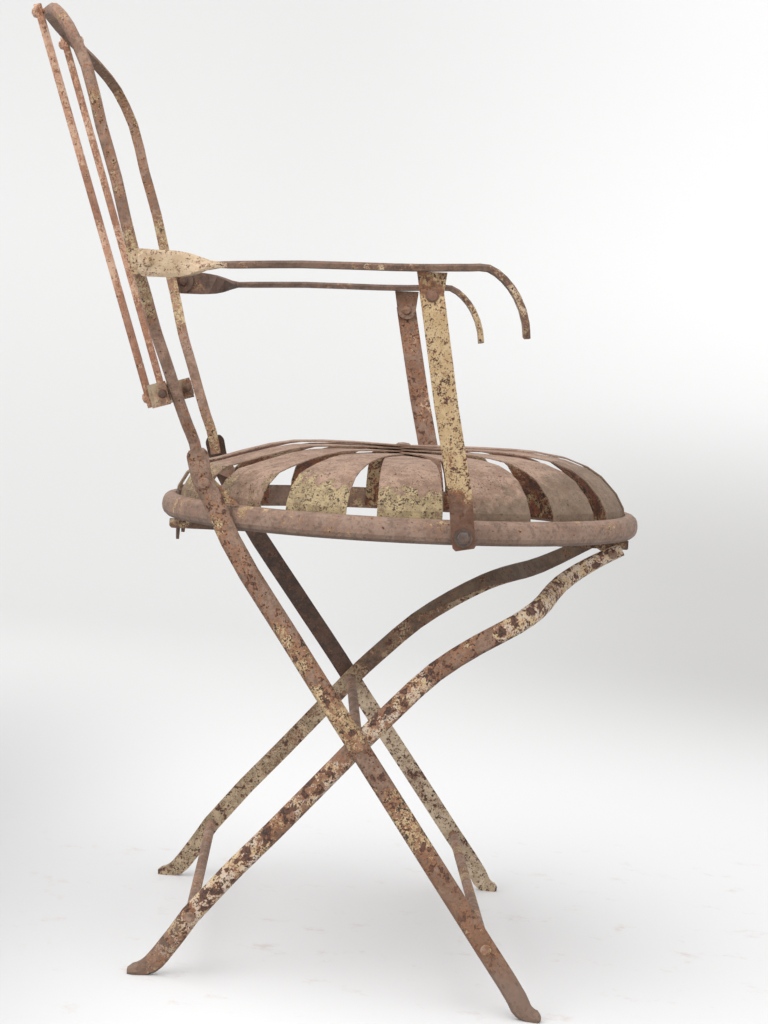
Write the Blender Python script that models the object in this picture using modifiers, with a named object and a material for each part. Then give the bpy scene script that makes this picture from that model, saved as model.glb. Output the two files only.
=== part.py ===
"""Folding iron garden armchair with a round sprung-strip seat.

Metres, +Z up, +X towards the front of the chair, +Y towards the sitter's left.
The outer frame (two stiles, the back hoop and its slats) stands still. The seat turns on
two pivots on the stiles, the rear legs turn on the axle where the legs cross, and each
arm turns on the hoop and carries its post, whose foot is bolted to the seat ring.
Shapes are laid out from the seat's centre with the seat ring level. The empty named chair
leans them back by the slope of the seat, and moves them so that the origin is on the ground
under the middle of the whole chair.
"""
import math

import bmesh
import bpy
from mathutils import Vector

for old in list(bpy.data.objects):
    bpy.data.objects.remove(old, do_unlink=True)

# Fits
GAP = 0.0003               # between pieces that touch on the real chair
PIN_PLAY = 0.0003          # round a rivet or pin in its hole

# Whole chair
SEAT_SLOPE = math.radians(2.3)
GROUND_LEVEL = -0.0071     # ground under the seat's centre, in the layout's heights
SEAT_CENTRE_X = 0.08696    # moves the layout forwards from the middle of the chair
SEAT_RADIUS = 0.220        # outside of the seat ring
SEAT_LEVEL = 0.394         # middle of the seat ring
BACK_TOP = 0.8315          # middle of the hoop bar at its top

# Seat ring and strips
RING_TALL = 0.021
RING_DEEP = 0.012
STRIP_COUNT = 8
STRIP_THICK = 0.001
STRIP_WIDE_RIM = 0.055
STRIP_WIDE_MIDDLE = 0.017
DOME_RISE = 0.0555         # top of the lowest strip above the middle of the ring
REAR_SAG = 0.009           # the rear of the seat has sunk this far
STRIP_DIP = 0.008          # strip ends below the middle of the ring

# Bars of the frame: width as seen from the side, and thickness across the chair
STILE_WIDE = 0.0176
STILE_THICK = 0.007
LEG_WIDE = 0.017
LEG_THICK = 0.0065
HOOP_WIDE = 0.0098
HOOP_THICK = 0.0075
SLAT_WIDE = 0.012
SLAT_THICK = 0.0065
ROD_RADIUS = 0.0048

# Where the legs stand, cross and pivot
CROSS_X = -0.0332
CROSS_Z = 0.2091
CROSS_HALF = 0.203         # middle of the stile at the crossing, from the middle plane
FRONT_FOOT_X = 0.1197      # where the middle of the bar meets the ground
FRONT_FOOT_HALF = 0.2275
FRONT_TOE = 0.0110         # from there to the end of the toe
REAR_FOOT_X = -0.2055
REAR_FOOT_HALF = 0.182
REAR_TOE = 0.0145
TOE_TALL = 0.0085
TOE_DEEP = 0.0140
STILE_BOW = 0.0024         # the stile bows out this far at the front stretcher
PIVOT_X = -0.1745
PIVOT_RISE = 0.0282        # seat pivot above the middle of the ring
PIVOT_HALF = 0.1635
KNUCKLE_RISE = 0.0570      # top of the stile above the middle of the ring

# Rear legs bend inwards under the front of the seat
LEG_TOP_HALF = 0.072
TOP_PIN_SETBACK = 0.030    # top cross pin behind the front of the seat ring
TOP_PIN_RADIUS = 0.0035
LEG_TIP_REACH = 0.0085     # tip of a rear leg in front of the pin

# Back
HOOP_HALF = 0.2257         # middle of the hoop bar at its widest
LAP_LENGTH = 0.017         # hoop ends lapped inside the stile tops
RAIL_LEVEL = 0.500         # where the lower back rail meets the hoop
RAIL_TALL = 0.0200
RAIL_THICK = 0.004
RAIL_SETBACK = 0.0205      # rear span of the rail behind the hoop
SLAT_HALF_TOP = 0.098
SLAT_HALF_LOW = 0.090

# Arms and posts
ARM_PIVOT_X = -0.2244
ARM_LEVEL = 0.6044
ARM_TAB_TALL = 0.022
ARM_TAB_THICK = 0.0045
ARM_WIDE = 0.020
ARM_THICK = 0.006
ARM_HALF = 0.252           # middle of the arm over the post
BRACKET_THICK = 0.0035
POST_TOP_X = 0.0065
POST_TOP_Z = 0.588
POST_WIDE = 0.0195
POST_THICK = 0.0045
POST_FOOT_X = 0.0445
SCROLL_DROP = 0.0546       # end of the arm below its highest point
LUG_THICK = 0.004

# Rails under the seat, pivot ears and catches
BEARER_HALF = 0.060
BEARER_WIDE = 0.008
BEARER_TALL = 0.008
EAR_THICK = 0.003
CATCH_WIDE = 0.014
CATCH_THICK = 0.0024

# Rivets and bolts
RIVET_RADIUS = 0.003
RIVET_HEAD = 0.0055
HEAD_TALL = 0.0028
SLAT_HEAD_TALL = 0.0036     # the slats' top rivets stand out more
ROD_HEAD = 0.0048          # rods are hammered almost flush
ROD_HEAD_TALL = 0.0012
BOLT_HEAD = 0.0058
POST_BOLT_PLAY = 0.0026    # the open pivot of the arm linkage
WASHER_RADIUS = 0.0078
WASHER_THICK = 0.001

PATINA = (0.33, 0.24, 0.19)
CREAM = (0.60, 0.48, 0.32)
RUST = (0.42, 0.24, 0.15)
DARK_IRON = (0.14, 0.10, 0.08)

parts = bpy.data.collections.new("folding_garden_chair")
cutters = bpy.data.collections.new("cutters")
bpy.context.scene.collection.children.link(parts)
bpy.context.scene.collection.children.link(cutters)

RING_TOP = SEAT_LEVEL + RING_TALL / 2
RING_BOTTOM = SEAT_LEVEL - RING_TALL / 2
RING_INSIDE = SEAT_RADIUS - RING_DEEP
PIVOT_Z = SEAT_LEVEL + PIVOT_RISE
BEARER_TOP = RING_BOTTOM - GAP
BEARER_BOTTOM = BEARER_TOP - BEARER_TALL
TOP_PIN_X = SEAT_RADIUS - TOP_PIN_SETBACK
TOP_PIN_Z = BEARER_BOTTOM - GAP - TOP_PIN_RADIUS
LEG_TIP_X = TOP_PIN_X + LEG_TIP_REACH
CROSS_INNER_HALF = CROSS_HALF - STILE_THICK / 2 - GAP - LEG_THICK / 2
POST_FOOT_Z = SEAT_LEVEL - 0.003


def ring_half(x, radius=SEAT_RADIUS):
    """Half-width of a circle of this radius, x from the seat's centre."""
    return math.sqrt(radius * radius - x * x)


# The pivots, each an empty on its joint's axis, all under one empty for the whole chair
PIVOTS = {
    "frame": (0, 0, 0),
    "seat": (PIVOT_X, 0, PIVOT_Z),
    "rear_legs": (CROSS_X, 0, CROSS_Z),
    "arm_right": (ARM_PIVOT_X, -ARM_HALF, ARM_LEVEL),
    "arm_left": (ARM_PIVOT_X, ARM_HALF, ARM_LEVEL),
    "post_right": (POST_TOP_X, -ARM_HALF, POST_TOP_Z),
    "post_left": (POST_TOP_X, ARM_HALF, POST_TOP_Z),
}
chair = bpy.data.objects.new("chair", None)
chair.location = (SEAT_CENTRE_X, 0, -GROUND_LEVEL * math.cos(SEAT_SLOPE))
chair.rotation_euler = (0, -SEAT_SLOPE, 0)
parts.objects.link(chair)
empties = {}
for body, spot in PIVOTS.items():
    empties[body] = bpy.data.objects.new("pivot_" + body, None)
    empties[body].parent = chair
    empties[body].location = spot
    parts.objects.link(empties[body])


def ground_at(x):
    """Height of the ground in the layout, where it runs down towards the front."""
    return GROUND_LEVEL - x * math.tan(SEAT_SLOPE)


def paint(obj, colour, roughness=0.75, metallic=0.35):
    """Each piece has its own material."""
    material = bpy.data.materials.new(obj.name)
    material.use_nodes = True
    shader = material.node_tree.nodes["Principled BSDF"]
    shader.inputs["Base Color"].default_value = (*colour, 1)
    shader.inputs["Roughness"].default_value = roughness
    shader.inputs["Metallic"].default_value = metallic
    obj.data.materials.append(material)


def add(name, mesh, body, colour, spot=(0, 0, 0), turn=(0, 0, 0)):
    """Put a mesh in the chair as a piece of one body, spot measured from the seat centre."""
    obj = bpy.data.objects.new(name, mesh)
    obj.parent = empties[body]
    obj.location = Vector(spot) - Vector(PIVOTS[body])
    obj.rotation_euler = turn
    parts.objects.link(obj)
    paint(obj, colour)
    return obj


def mesh_from(bm, name):
    """Close a bmesh into a mesh with its faces pointing out."""
    bmesh.ops.recalc_face_normals(bm, faces=bm.faces)
    mesh = bpy.data.meshes.new(name)
    bm.to_mesh(mesh)
    bm.free()
    return mesh


def smooth_path(points, spans=4):
    """A smooth curve through points, with this many steps from each to the next."""
    points = [Vector(p) for p in points]
    lengths = [(b - a).length for a, b in zip(points, points[1:])]
    slopes = [(b - a) / d for a, b, d in zip(points, points[1:], lengths)]
    tangents = [slopes[0]]
    for before, after, d0, d1 in zip(slopes, slopes[1:], lengths, lengths[1:]):
        tangents.append((before * d1 + after * d0) / (d0 + d1))
    tangents.append(slopes[-1])
    path = []
    for a, b, ta, tb, d in zip(points, points[1:], tangents, tangents[1:], lengths):
        for step in range(spans):
            t = step / spans
            path.append(a * (2 * t**3 - 3 * t**2 + 1) + ta * d * (t**3 - 2 * t**2 + t)
                        + b * (3 * t**2 - 2 * t**3) + tb * d * (t**3 - t**2))
    return path + [points[-1]]


def oval(width, thick, flank=0.35, steps=4):
    """Half-round bar: flat inside face, short flanks and a crowned outer face."""
    half = width / 2
    spring = -thick / 2 + thick * flank
    section = [(half, -thick / 2)]
    for step in range(steps + 1):
        angle = math.pi * step / steps
        section.append((half * math.cos(angle), spring + (thick / 2 - spring) * math.sin(angle)))
    section.append((-half, -thick / 2))
    return section


def slab(width, thick):
    """Flat bar."""
    return [(width / 2, -thick / 2), (width / 2, thick / 2),
            (-width / 2, thick / 2), (-width / 2, -thick / 2)]


def bar(name, path, sections, wide_way, outward, body, colour):
    """A forged bar: sections along a path. wide_way gives each section's width direction.

    What would reach below the ground is worn flat.
    """
    bm = bmesh.new()
    rings = []
    side = 0
    last = len(path) - 1
    for i, point in enumerate(path):
        tangent = (path[min(i + 1, last)] - path[max(i - 1, 0)]).normalized()
        wide = Vector(wide_way(i, tangent))
        wide = (wide - tangent * wide.dot(tangent)).normalized()
        deep = tangent.cross(wide)
        if not side:
            side = 1 if deep.dot(Vector(outward)) > 0 else -1
        ring = [point + wide * a + deep * (side * b) for a, b in sections[i]]
        rings.append([bm.verts.new((p.x, p.y, max(p.z, ground_at(p.x)))) for p in ring])
    for one, two in zip(rings, rings[1:]):
        for j in range(len(one)):
            k = (j + 1) % len(one)
            bm.faces.new((one[j], one[k], two[k], two[j]))
    bm.faces.new(rings[0])
    bm.faces.new(rings[-1])
    obj = add(name, mesh_from(bm, name), body, colour)
    obj.data.shade_smooth()
    obj.data.set_sharp_from_angle(angle=math.radians(40))
    return obj


def side_on(i, tangent):
    """Width direction of a leg: square to the bar in the side view."""
    return (tangent.z, 0, -tangent.x)


def plate(name, outline, middle_y, thick, body, colour):
    """A flat plate with a convex outline in the side view."""
    bm = bmesh.new()
    for x, z in outline:
        bm.verts.new((x, middle_y - thick / 2, z))
        bm.verts.new((x, middle_y + thick / 2, z))
    bmesh.ops.convex_hull(bm, input=bm.verts)
    bmesh.ops.dissolve_limit(bm, angle_limit=0.01, verts=bm.verts, edges=bm.edges)
    return add(name, mesh_from(bm, name), body, colour)


def arc(centre_x, centre_z, radius, start=0, end=360, steps=16):
    """Points of an arc in the side view, angles in degrees from +X towards +Z."""
    return [(centre_x + radius * math.cos(math.radians(start + (end - start) * i / steps)),
             centre_z + radius * math.sin(math.radians(start + (end - start) * i / steps)))
            for i in range(steps + (end - start < 360))]


def drill(obj, x, z, radius, near=-1.0, far=1.0):
    """Cut a round hole across the chair, between the planes y = near and y = far."""
    bm = bmesh.new()
    bmesh.ops.create_cone(bm, cap_ends=True, segments=16, radius1=radius, radius2=radius,
                          depth=far - near)
    cutter = bpy.data.objects.new("drill_" + obj.name, mesh_from(bm, "drill_" + obj.name))
    cutter.parent = chair
    cutter.location = (x, (near + far) / 2, z)
    cutter.rotation_euler = (-math.pi / 2, 0, 0)
    cut_with(obj, cutter)


def cut_with(obj, cutter):
    """Subtract a cutter, which the build leaves out."""
    cutter.hide_render = True
    cutter.display_type = "WIRE"
    cutters.objects.link(cutter)
    cut = obj.modifiers.new(cutter.name, "BOOLEAN")
    cut.operation = "DIFFERENCE"
    cut.solver = "EXACT"
    cut.object = cutter


def turned(name, profile, body, colour, spot=(0, 0, 0), turn=(-math.pi / 2, 0, 0), segments=12):
    """A turned piece from (radius, distance along its axis), top to bottom.

    Unless turned otherwise its axis lies across the chair, top towards +Y.
    """
    bm = bmesh.new()
    verts = [bm.verts.new((radius, 0, along)) for radius, along in profile]
    for a, b in zip(verts, verts[1:]):
        bm.edges.new((a, b))
    mesh = bpy.data.meshes.new(name)
    bm.to_mesh(mesh)
    bm.free()
    obj = add(name, mesh, body, colour, spot, turn)
    screw = obj.modifiers.new("turn", "SCREW")
    screw.axis = "Z"
    screw.steps = screw.render_steps = segments
    screw.use_merge_vertices = True
    screw.merge_threshold = 0.00001
    screw.use_smooth_shade = True
    return obj


def head_top(base, radius, tall, rise=1):
    """Domed rivet head standing on the plane base, profile from its crown to its edge."""
    steps = 2
    return [(radius * math.sin(math.pi / 2 * i / steps),
             base + rise * tall * math.cos(math.pi / 2 * i / steps)) for i in range(steps + 1)]


def rivet(name, body, x, z, inner, outer, side, head=RIVET_HEAD, shank=RIVET_RADIUS,
          colour=PATINA):
    """A rivet across the chair between two faces at distances inner and outer from the middle."""
    low, high = sorted((side * (outer + GAP), side * (inner - GAP)))
    profile = head_top(high, head, HEAD_TALL) + [(shank, high), (shank, low)]
    profile += head_top(low, head, HEAD_TALL, -1)[::-1]
    return turned(name, profile, body, colour, (x, 0, z))


def cross_rod(name, body, x, z, inner, outer, thick=ROD_RADIUS, shank=RIVET_RADIUS,
              head=ROD_HEAD, ease=GAP, colour=PATINA):
    """A rod from side to side, shouldered inside the bars and riveted over outside them."""
    half = [(shank, outer + ease), (shank, inner - ease), (thick, inner - ease)]
    profile = head_top(outer + ease, head, ROD_HEAD_TALL) + half
    profile += [(radius, -along) for radius, along in reversed(half)]
    profile += head_top(-outer - ease, head, ROD_HEAD_TALL, -1)[::-1]
    return turned(name, profile, body, colour, (x, 0, z))


# Outer frame: two stiles
stile_slope = (FRONT_FOOT_X - CROSS_X) / (CROSS_Z - ground_at(FRONT_FOOT_X))
knuckle_z = SEAT_LEVEL + KNUCKLE_RISE
front_stretcher_z = 0.0464
front_stretcher_x = CROSS_X + stile_slope * (CROSS_Z - front_stretcher_z) + STILE_BOW
front_stretcher_half = FRONT_FOOT_HALF - 0.0065


def stile_points(side):
    """Middle line of a stile from the knuckle down to the toe."""
    ground = ground_at(FRONT_FOOT_X)
    spots = [
        (PIVOT_X - 0.0083, knuckle_z, PIVOT_HALF - 0.0035),
        (PIVOT_X - 0.0067, knuckle_z - 0.006, PIVOT_HALF - 0.0028),
        (PIVOT_X - 0.0038, PIVOT_Z + 0.011, PIVOT_HALF),
        (PIVOT_X, PIVOT_Z, PIVOT_HALF),
        (PIVOT_X + 0.0062, PIVOT_Z - 0.0105, PIVOT_HALF + 0.0004),
        (PIVOT_X + 0.0250, SEAT_LEVEL - 0.0184, PIVOT_HALF + 0.010),
        (CROSS_X - 0.0618, CROSS_Z + 0.0872, CROSS_HALF - 0.0155),
        (CROSS_X - 0.014, CROSS_Z + 0.020, CROSS_HALF - 0.0004),
        (CROSS_X, CROSS_Z, CROSS_HALF),
        (CROSS_X + 0.014, CROSS_Z - 0.020, CROSS_HALF + 0.0004),
        (CROSS_X + 0.0615, CROSS_Z - 0.0869, CROSS_HALF + 0.0105),
        (front_stretcher_x, front_stretcher_z, front_stretcher_half),
        (FRONT_FOOT_X - 0.0100, ground + 0.0185, FRONT_FOOT_HALF - 0.0010),
        (FRONT_FOOT_X - 0.0040, ground + 0.0085, FRONT_FOOT_HALF),
        (FRONT_FOOT_X + FRONT_TOE * 0.35, ground + 0.0035, FRONT_FOOT_HALF),
        (FRONT_FOOT_X + FRONT_TOE, ground + 0.0025, FRONT_FOOT_HALF),
    ]
    return [(x, side * half, z) for x, z, half in spots]


def foot_section(share, wide, thick):
    """Section of a leg near the ground, from bar (share 0) to toe (share 1)."""
    return oval(wide + (TOE_TALL - wide) * share, thick + (TOE_DEEP - thick) * share,
                flank=0.35 + 0.35 * share)


for side, hand in ((-1, "right"), (1, "left")):
    spans = 3
    path = smooth_path(stile_points(side), spans)
    sections = []
    for i in range(len(path)):
        knot = i / spans
        if knot < 3:
            swell = 1.10 - 0.04 * knot - 0.38 * max(0, 1 - knot) ** 2
            sections.append(oval(STILE_WIDE * swell, STILE_THICK))
        elif knot <= 12:
            sections.append(oval(STILE_WIDE, STILE_THICK))
        else:
            sections.append(foot_section(max(0, (knot - 12.7) / 2.3), STILE_WIDE, STILE_THICK))
    sections[-1] = oval(TOE_TALL * 0.55, TOE_DEEP * 0.6, flank=0.7)
    stile = bar("stile_" + hand, path, sections, side_on, (0, side, 0), "frame", CREAM)
    drill(stile, PIVOT_X, PIVOT_Z, RIVET_RADIUS + PIN_PLAY)
    drill(stile, CROSS_X, CROSS_Z, RIVET_RADIUS + PIN_PLAY)
    drill(stile, front_stretcher_x, front_stretcher_z, RIVET_RADIUS + PIN_PLAY)

cross_rod("front_stretcher", "frame", front_stretcher_x, front_stretcher_z,
          front_stretcher_half - STILE_THICK / 2, front_stretcher_half + STILE_THICK / 2,
          ease=GAP * 3, colour=RUST)
cross_rod("cross_axle", "frame", CROSS_X, CROSS_Z, CROSS_INNER_HALF - LEG_THICK / 2,
          CROSS_HALF + STILE_THICK / 2)

# Back hoop: x, height and half-width of each upright, then the arch, whose half-width is a
# share of the hoop's. Heights above the arm pivot are shares of the rise from there to the top.
back_rise = BACK_TOP - ARM_LEVEL
HOOP_LINE = [(-0.1848, 0.456, 0.1525), (-0.1908, 0.470, 0.1590), (-0.1964, 0.485, 0.1665),
             (-0.2019, RAIL_LEVEL, 0.1735), (-0.2070, 0.515, 0.1790), (-0.2124, 0.530, 0.1845),
             (-0.2179, 0.545, 0.1900), (-0.2225, 0.560, 0.1963), (-0.2266, 0.575, 0.2045),
             (-0.2310, 0.590, 0.2148), (-0.2332, 0.597, 0.2190), (-0.2354, ARM_LEVEL, 0.2215),
             (-0.2376, ARM_LEVEL + back_rise * 0.0335, 0.2226),
             (-0.2400, ARM_LEVEL + back_rise * 0.0687, 0.2236),
             (-0.2458, ARM_LEVEL + back_rise * 0.1568, 0.2250),
             (-0.2538, ARM_LEVEL + back_rise * 0.2889, HOOP_HALF)]
ARCH_LINE = [(-0.2680, ARM_LEVEL + back_rise * 0.4786, 1.0),
             (-0.2818, ARM_LEVEL + back_rise * 0.6852, 0.998),
             (-0.2990, BACK_TOP - 0.0380, 0.958), (-0.3135, BACK_TOP - 0.0208, 0.800),
             (-0.3237, BACK_TOP - 0.0130, 0.590), (-0.3315, BACK_TOP - 0.0075, 0.375),
             (-0.3378, BACK_TOP - 0.0023, 0.170), (-0.3398, BACK_TOP, 0.0)]
hoop_at_rail = Vector((HOOP_LINE[3][0], 0, HOOP_LINE[3][1]))
hoop_at_arm = Vector((HOOP_LINE[11][0], 0, HOOP_LINE[11][1]))
rail_half = HOOP_LINE[3][2]
bracket_half = HOOP_LINE[13][2] + HOOP_THICK / 2 + BRACKET_THICK / 2
arm_pivot_half = bracket_half + BRACKET_THICK / 2 + GAP + ARM_TAB_THICK / 2
lap_half = PIVOT_HALF - 0.0035 - STILE_THICK / 2 - GAP - HOOP_THICK / 2 - 0.0003
lap_foot = Vector((PIVOT_X - 0.0050, 0, knuckle_z - LAP_LENGTH))


def hoop_path():
    """Middle line of the hoop, from the right lap over the top to the left lap."""
    right = [(lap_foot.x, -lap_half, lap_foot.z)]
    right += [(x, -max(half, lap_half), z) for x, z, half in HOOP_LINE]
    right += [(x, -share * HOOP_HALF, z) for x, z, share in ARCH_LINE]
    knots = right + [(x, -y, z) for x, y, z in right[-2::-1]]
    return smooth_path(knots, 2)


path = hoop_path()
back_lean = (Vector((ARCH_LINE[0][0], 0, ARCH_LINE[0][1])) - hoop_at_rail).normalized()
back_normal = Vector((back_lean.z, 0, -back_lean.x))
back_lean_ratio = -back_lean.x / back_lean.z
hoop = bar("back_hoop", path, [oval(HOOP_WIDE, HOOP_THICK)] * len(path),
           lambda i, tangent: back_normal, (0, -1, 0), "frame", PATINA)

# Lower back rail: a flat bar bent to a wide U behind the hoop, square to its lean
rail_back = Vector((-back_lean.z, 0, back_lean.x))


def rail_spot(back, half):
    """A point of the rail's middle line, this far behind the hoop's middle."""
    return hoop_at_rail + rail_back * back + Vector((0, half, 0))


rail_front = HOOP_WIDE / 2 + 0.0012
corner = 0.005
right_rail = [rail_spot(rail_front, -rail_half), rail_spot(RAIL_SETBACK - corner, -rail_half)]
for i in range(1, 5):
    angle = math.pi / 2 * i / 4
    right_rail.append(rail_spot(RAIL_SETBACK - corner + corner * math.sin(angle),
                                -rail_half + corner * (1 - math.cos(angle))))
BOW = 0.004
for share in (0.65, 0.3):
    right_rail.append(rail_spot(RAIL_SETBACK + BOW * (1 - share * share), -rail_half * share))
rail_path = right_rail + [rail_spot(RAIL_SETBACK + BOW, 0)]
rail_path += [Vector((p.x, -p.y, p.z)) for p in reversed(right_rail)]
rail = bar("lower_back_rail", rail_path, [slab(RAIL_TALL, RAIL_THICK)] * len(rail_path),
           lambda i, tangent: back_lean, (0, -1, 0), "frame", RUST)

# Lugs on the hoop that hold the rail's ends, each with a rivet
rail_rivet = rail_spot(rail_front + 0.0045, 0)
for side, hand in ((-1, "right"), (1, "left")):
    lug_half = rail_half - RAIL_THICK / 2 - GAP - LUG_THICK / 2
    edge = hoop_at_rail + rail_back * (HOOP_WIDE / 2 + GAP)
    outline = [(edge.x + back_lean.x * s, edge.z + back_lean.z * s) for s in (-0.007, 0.007)]
    outline += arc(rail_rivet.x, rail_rivet.z, 0.0038)
    lug = plate("rail_lug_" + hand, outline, side * lug_half, LUG_THICK, "frame", PATINA)
    for piece in (rail, lug):
        drill(piece, rail_rivet.x, rail_rivet.z, RIVET_RADIUS * 0.75 + PIN_PLAY,
              *sorted((side * 0.12, side * 0.20)))
    rivet("rail_rivet_" + hand, "frame", rail_rivet.x, rail_rivet.z, lug_half - LUG_THICK / 2,
          rail_half + RAIL_THICK / 2, side, head=0.0038, shank=RIVET_RADIUS * 0.75, colour=RUST)

# Back slats: two half-round bars riveted behind the hoop's top and behind the rail
rail_bow_at_slat = BOW * (1 - (SLAT_HALF_LOW / rail_half) ** 2)
slat_low = rail_spot(RAIL_SETBACK + rail_bow_at_slat + RAIL_THICK / 2 + GAP + SLAT_THICK / 2, 0)
crown_arch = [p for p in path if p.z > ARCH_LINE[1][1] and p.y <= 0]
near_slat = min(crown_arch, key=lambda p: abs(p.y + SLAT_HALF_TOP))
after = crown_arch[min(crown_arch.index(near_slat) + 1, len(crown_arch) - 1)]
before = crown_arch[crown_arch.index(near_slat) - 1]
pair = (before, near_slat) if near_slat.y > -SLAT_HALF_TOP else (near_slat, after)
mix = (-SLAT_HALF_TOP - pair[0].y) / (pair[1].y - pair[0].y)
hoop_at_slat = pair[0].lerp(pair[1], mix)
slat_top = hoop_at_slat - back_normal * (HOOP_WIDE / 2 + GAP * 2.5 + SLAT_THICK / 2)
for side, hand in ((-1, "right"), (1, "left")):
    low = Vector((slat_low.x, side * SLAT_HALF_LOW, slat_low.z))
    top = Vector((slat_top.x, side * SLAT_HALF_TOP, slat_top.z))
    run = (top - low).normalized()
    spots = [low - run * 0.009, low - run * 0.0065, low + run * 0.012, low.lerp(top, 0.25),
             low.lerp(top, 0.5), low.lerp(top, 0.75), top - run * 0.010, top + run * 0.0045,
             top + run * 0.0065]
    sections = [oval(SLAT_WIDE, SLAT_THICK)] * len(spots)
    sections[0] = sections[-1] = oval(SLAT_WIDE * 0.7, SLAT_THICK)
    slat = bar("back_slat_" + hand, spots, sections, lambda i, tangent: (0, 1, 0),
               back_normal, "frame", RUST)
    tilt = math.atan2(back_normal.z, back_normal.x)
    shank = RIVET_RADIUS * 0.75
    for where, spot, pieces, depth, head_tall in (
            ("top", top, (slat, hoop), HOOP_WIDE + GAP * 4, SLAT_HEAD_TALL),
            ("low", low, (slat, rail), RAIL_THICK, HEAD_TALL)):
        low_end, high_end = -SLAT_THICK / 2 - GAP, SLAT_THICK / 2 + GAP * 3.5 + depth
        for piece in pieces:
            bm = bmesh.new()
            bmesh.ops.create_cone(bm, cap_ends=True, segments=14, radius1=shank + PIN_PLAY,
                                  radius2=shank + PIN_PLAY, depth=0.06)
            cutter = bpy.data.objects.new("drill_slat", mesh_from(bm, "drill_slat"))
            cutter.parent = chair
            cutter.location = spot
            cutter.rotation_euler = (0, math.pi / 2 - tilt, 0)
            cut_with(piece, cutter)
        profile = head_top(high_end, 0.0042, 0.0022) + [(shank, high_end), (shank, low_end)]
        profile += head_top(low_end, 0.0048, head_tall, -1)[::-1]
        turned("slat_rivet_%s_%s" % (where, hand), profile, "frame", PATINA, spot,
               (0, math.pi / 2 - tilt, 0), 12)

# Brackets lapped on the outside of the hoop, that carry the arms
bracket_reach = 0.0105
for side, hand in ((-1, "right"), (1, "left")):
    outline = arc(ARM_PIVOT_X, ARM_LEVEL, bracket_reach, -90, 90, 10)
    for rise in (-bracket_reach, bracket_reach):
        outline.append((hoop_at_arm.x - HOOP_WIDE / 2 - 0.0005 - rise * back_lean_ratio,
                        ARM_LEVEL + rise))
    bracket = plate("arm_bracket_" + hand, outline, side * bracket_half, BRACKET_THICK, "frame",
                    CREAM)
    drill(bracket, ARM_PIVOT_X, ARM_LEVEL, RIVET_RADIUS + PIN_PLAY)
    rivet("arm_rivet_" + hand, "frame", ARM_PIVOT_X, ARM_LEVEL,
          bracket_half - BRACKET_THICK / 2, arm_pivot_half + ARM_TAB_THICK / 2, side,
          head=0.0048, colour=CREAM)

# Rear legs
rear_stretcher_x, rear_stretcher_z = -0.1685, 0.0545
rear_stretcher_half = REAR_FOOT_HALF + 0.0050


def leg_points(side):
    """Middle line of a rear leg from the toe up to its tip under the front of the seat."""
    inner = CROSS_INNER_HALF
    ground = ground_at(REAR_FOOT_X)
    spots = [
        (REAR_FOOT_X - REAR_TOE, ground + 0.0025, REAR_FOOT_HALF),
        (REAR_FOOT_X - REAR_TOE * 0.35, ground + 0.0035, REAR_FOOT_HALF),
        (REAR_FOOT_X + 0.0045, ground + 0.0080, REAR_FOOT_HALF),
        (REAR_FOOT_X + 0.0125, ground + 0.0168, REAR_FOOT_HALF + 0.0010),
        (rear_stretcher_x, rear_stretcher_z, rear_stretcher_half),
        (CROSS_X - 0.0665, CROSS_Z - 0.0756, inner - 0.003),
        (CROSS_X - 0.014, CROSS_Z - 0.0161, inner - 0.0002),
        (CROSS_X, CROSS_Z, inner),
        (CROSS_X + 0.014, CROSS_Z + 0.0152, inner - 0.0012),
        (CROSS_X + 0.0302, CROSS_Z + 0.0319, inner - 0.0054),
        (CROSS_X + 0.0632, CROSS_Z + 0.0638, inner - 0.0122),
        (CROSS_X + 0.0982, CROSS_Z + 0.0884, inner - 0.0135),
        (CROSS_X + 0.1312, CROSS_Z + 0.1075, inner - 0.0165),
        (LEG_TIP_X - 0.0815, CROSS_Z + 0.1182, inner - 0.0370),
        (LEG_TIP_X - 0.0680, CROSS_Z + 0.1267, inner - 0.0710),
        (LEG_TIP_X - 0.0540, TOP_PIN_Z - 0.0262, LEG_TOP_HALF + 0.0200),
        (LEG_TIP_X - 0.0375, TOP_PIN_Z - 0.0160, LEG_TOP_HALF + 0.0050),
        (LEG_TIP_X - 0.0200, TOP_PIN_Z - 0.0060, LEG_TOP_HALF),
        (LEG_TIP_X, TOP_PIN_Z + 0.0045, LEG_TOP_HALF),
    ]
    return [(x, side * half, z) for x, z, half in spots]


for side, hand in ((-1, "right"), (1, "left")):
    spans = 2
    path = smooth_path(leg_points(side), spans)
    sections = []
    for i in range(len(path)):
        knot = i / spans
        if knot < 3:
            sections.append(foot_section(max(0, (2.3 - knot) / 2.3), LEG_WIDE, LEG_THICK))
        elif knot <= 14:
            sections.append(oval(LEG_WIDE, LEG_THICK))
        else:
            sections.append(oval(LEG_WIDE + (0.0115 - LEG_WIDE) * (knot - 14) / 4, LEG_THICK))
    sections[0] = oval(TOE_TALL * 0.55, TOE_DEEP * 0.6, flank=0.7)
    leg = bar("rear_leg_" + hand, path, sections, side_on, (0, side, 0), "rear_legs", CREAM)
    drill(leg, CROSS_X, CROSS_Z, RIVET_RADIUS + PIN_PLAY)
    drill(leg, rear_stretcher_x, rear_stretcher_z, RIVET_RADIUS + PIN_PLAY)
    drill(leg, TOP_PIN_X, TOP_PIN_Z, RIVET_RADIUS * 0.8 + PIN_PLAY)

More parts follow.
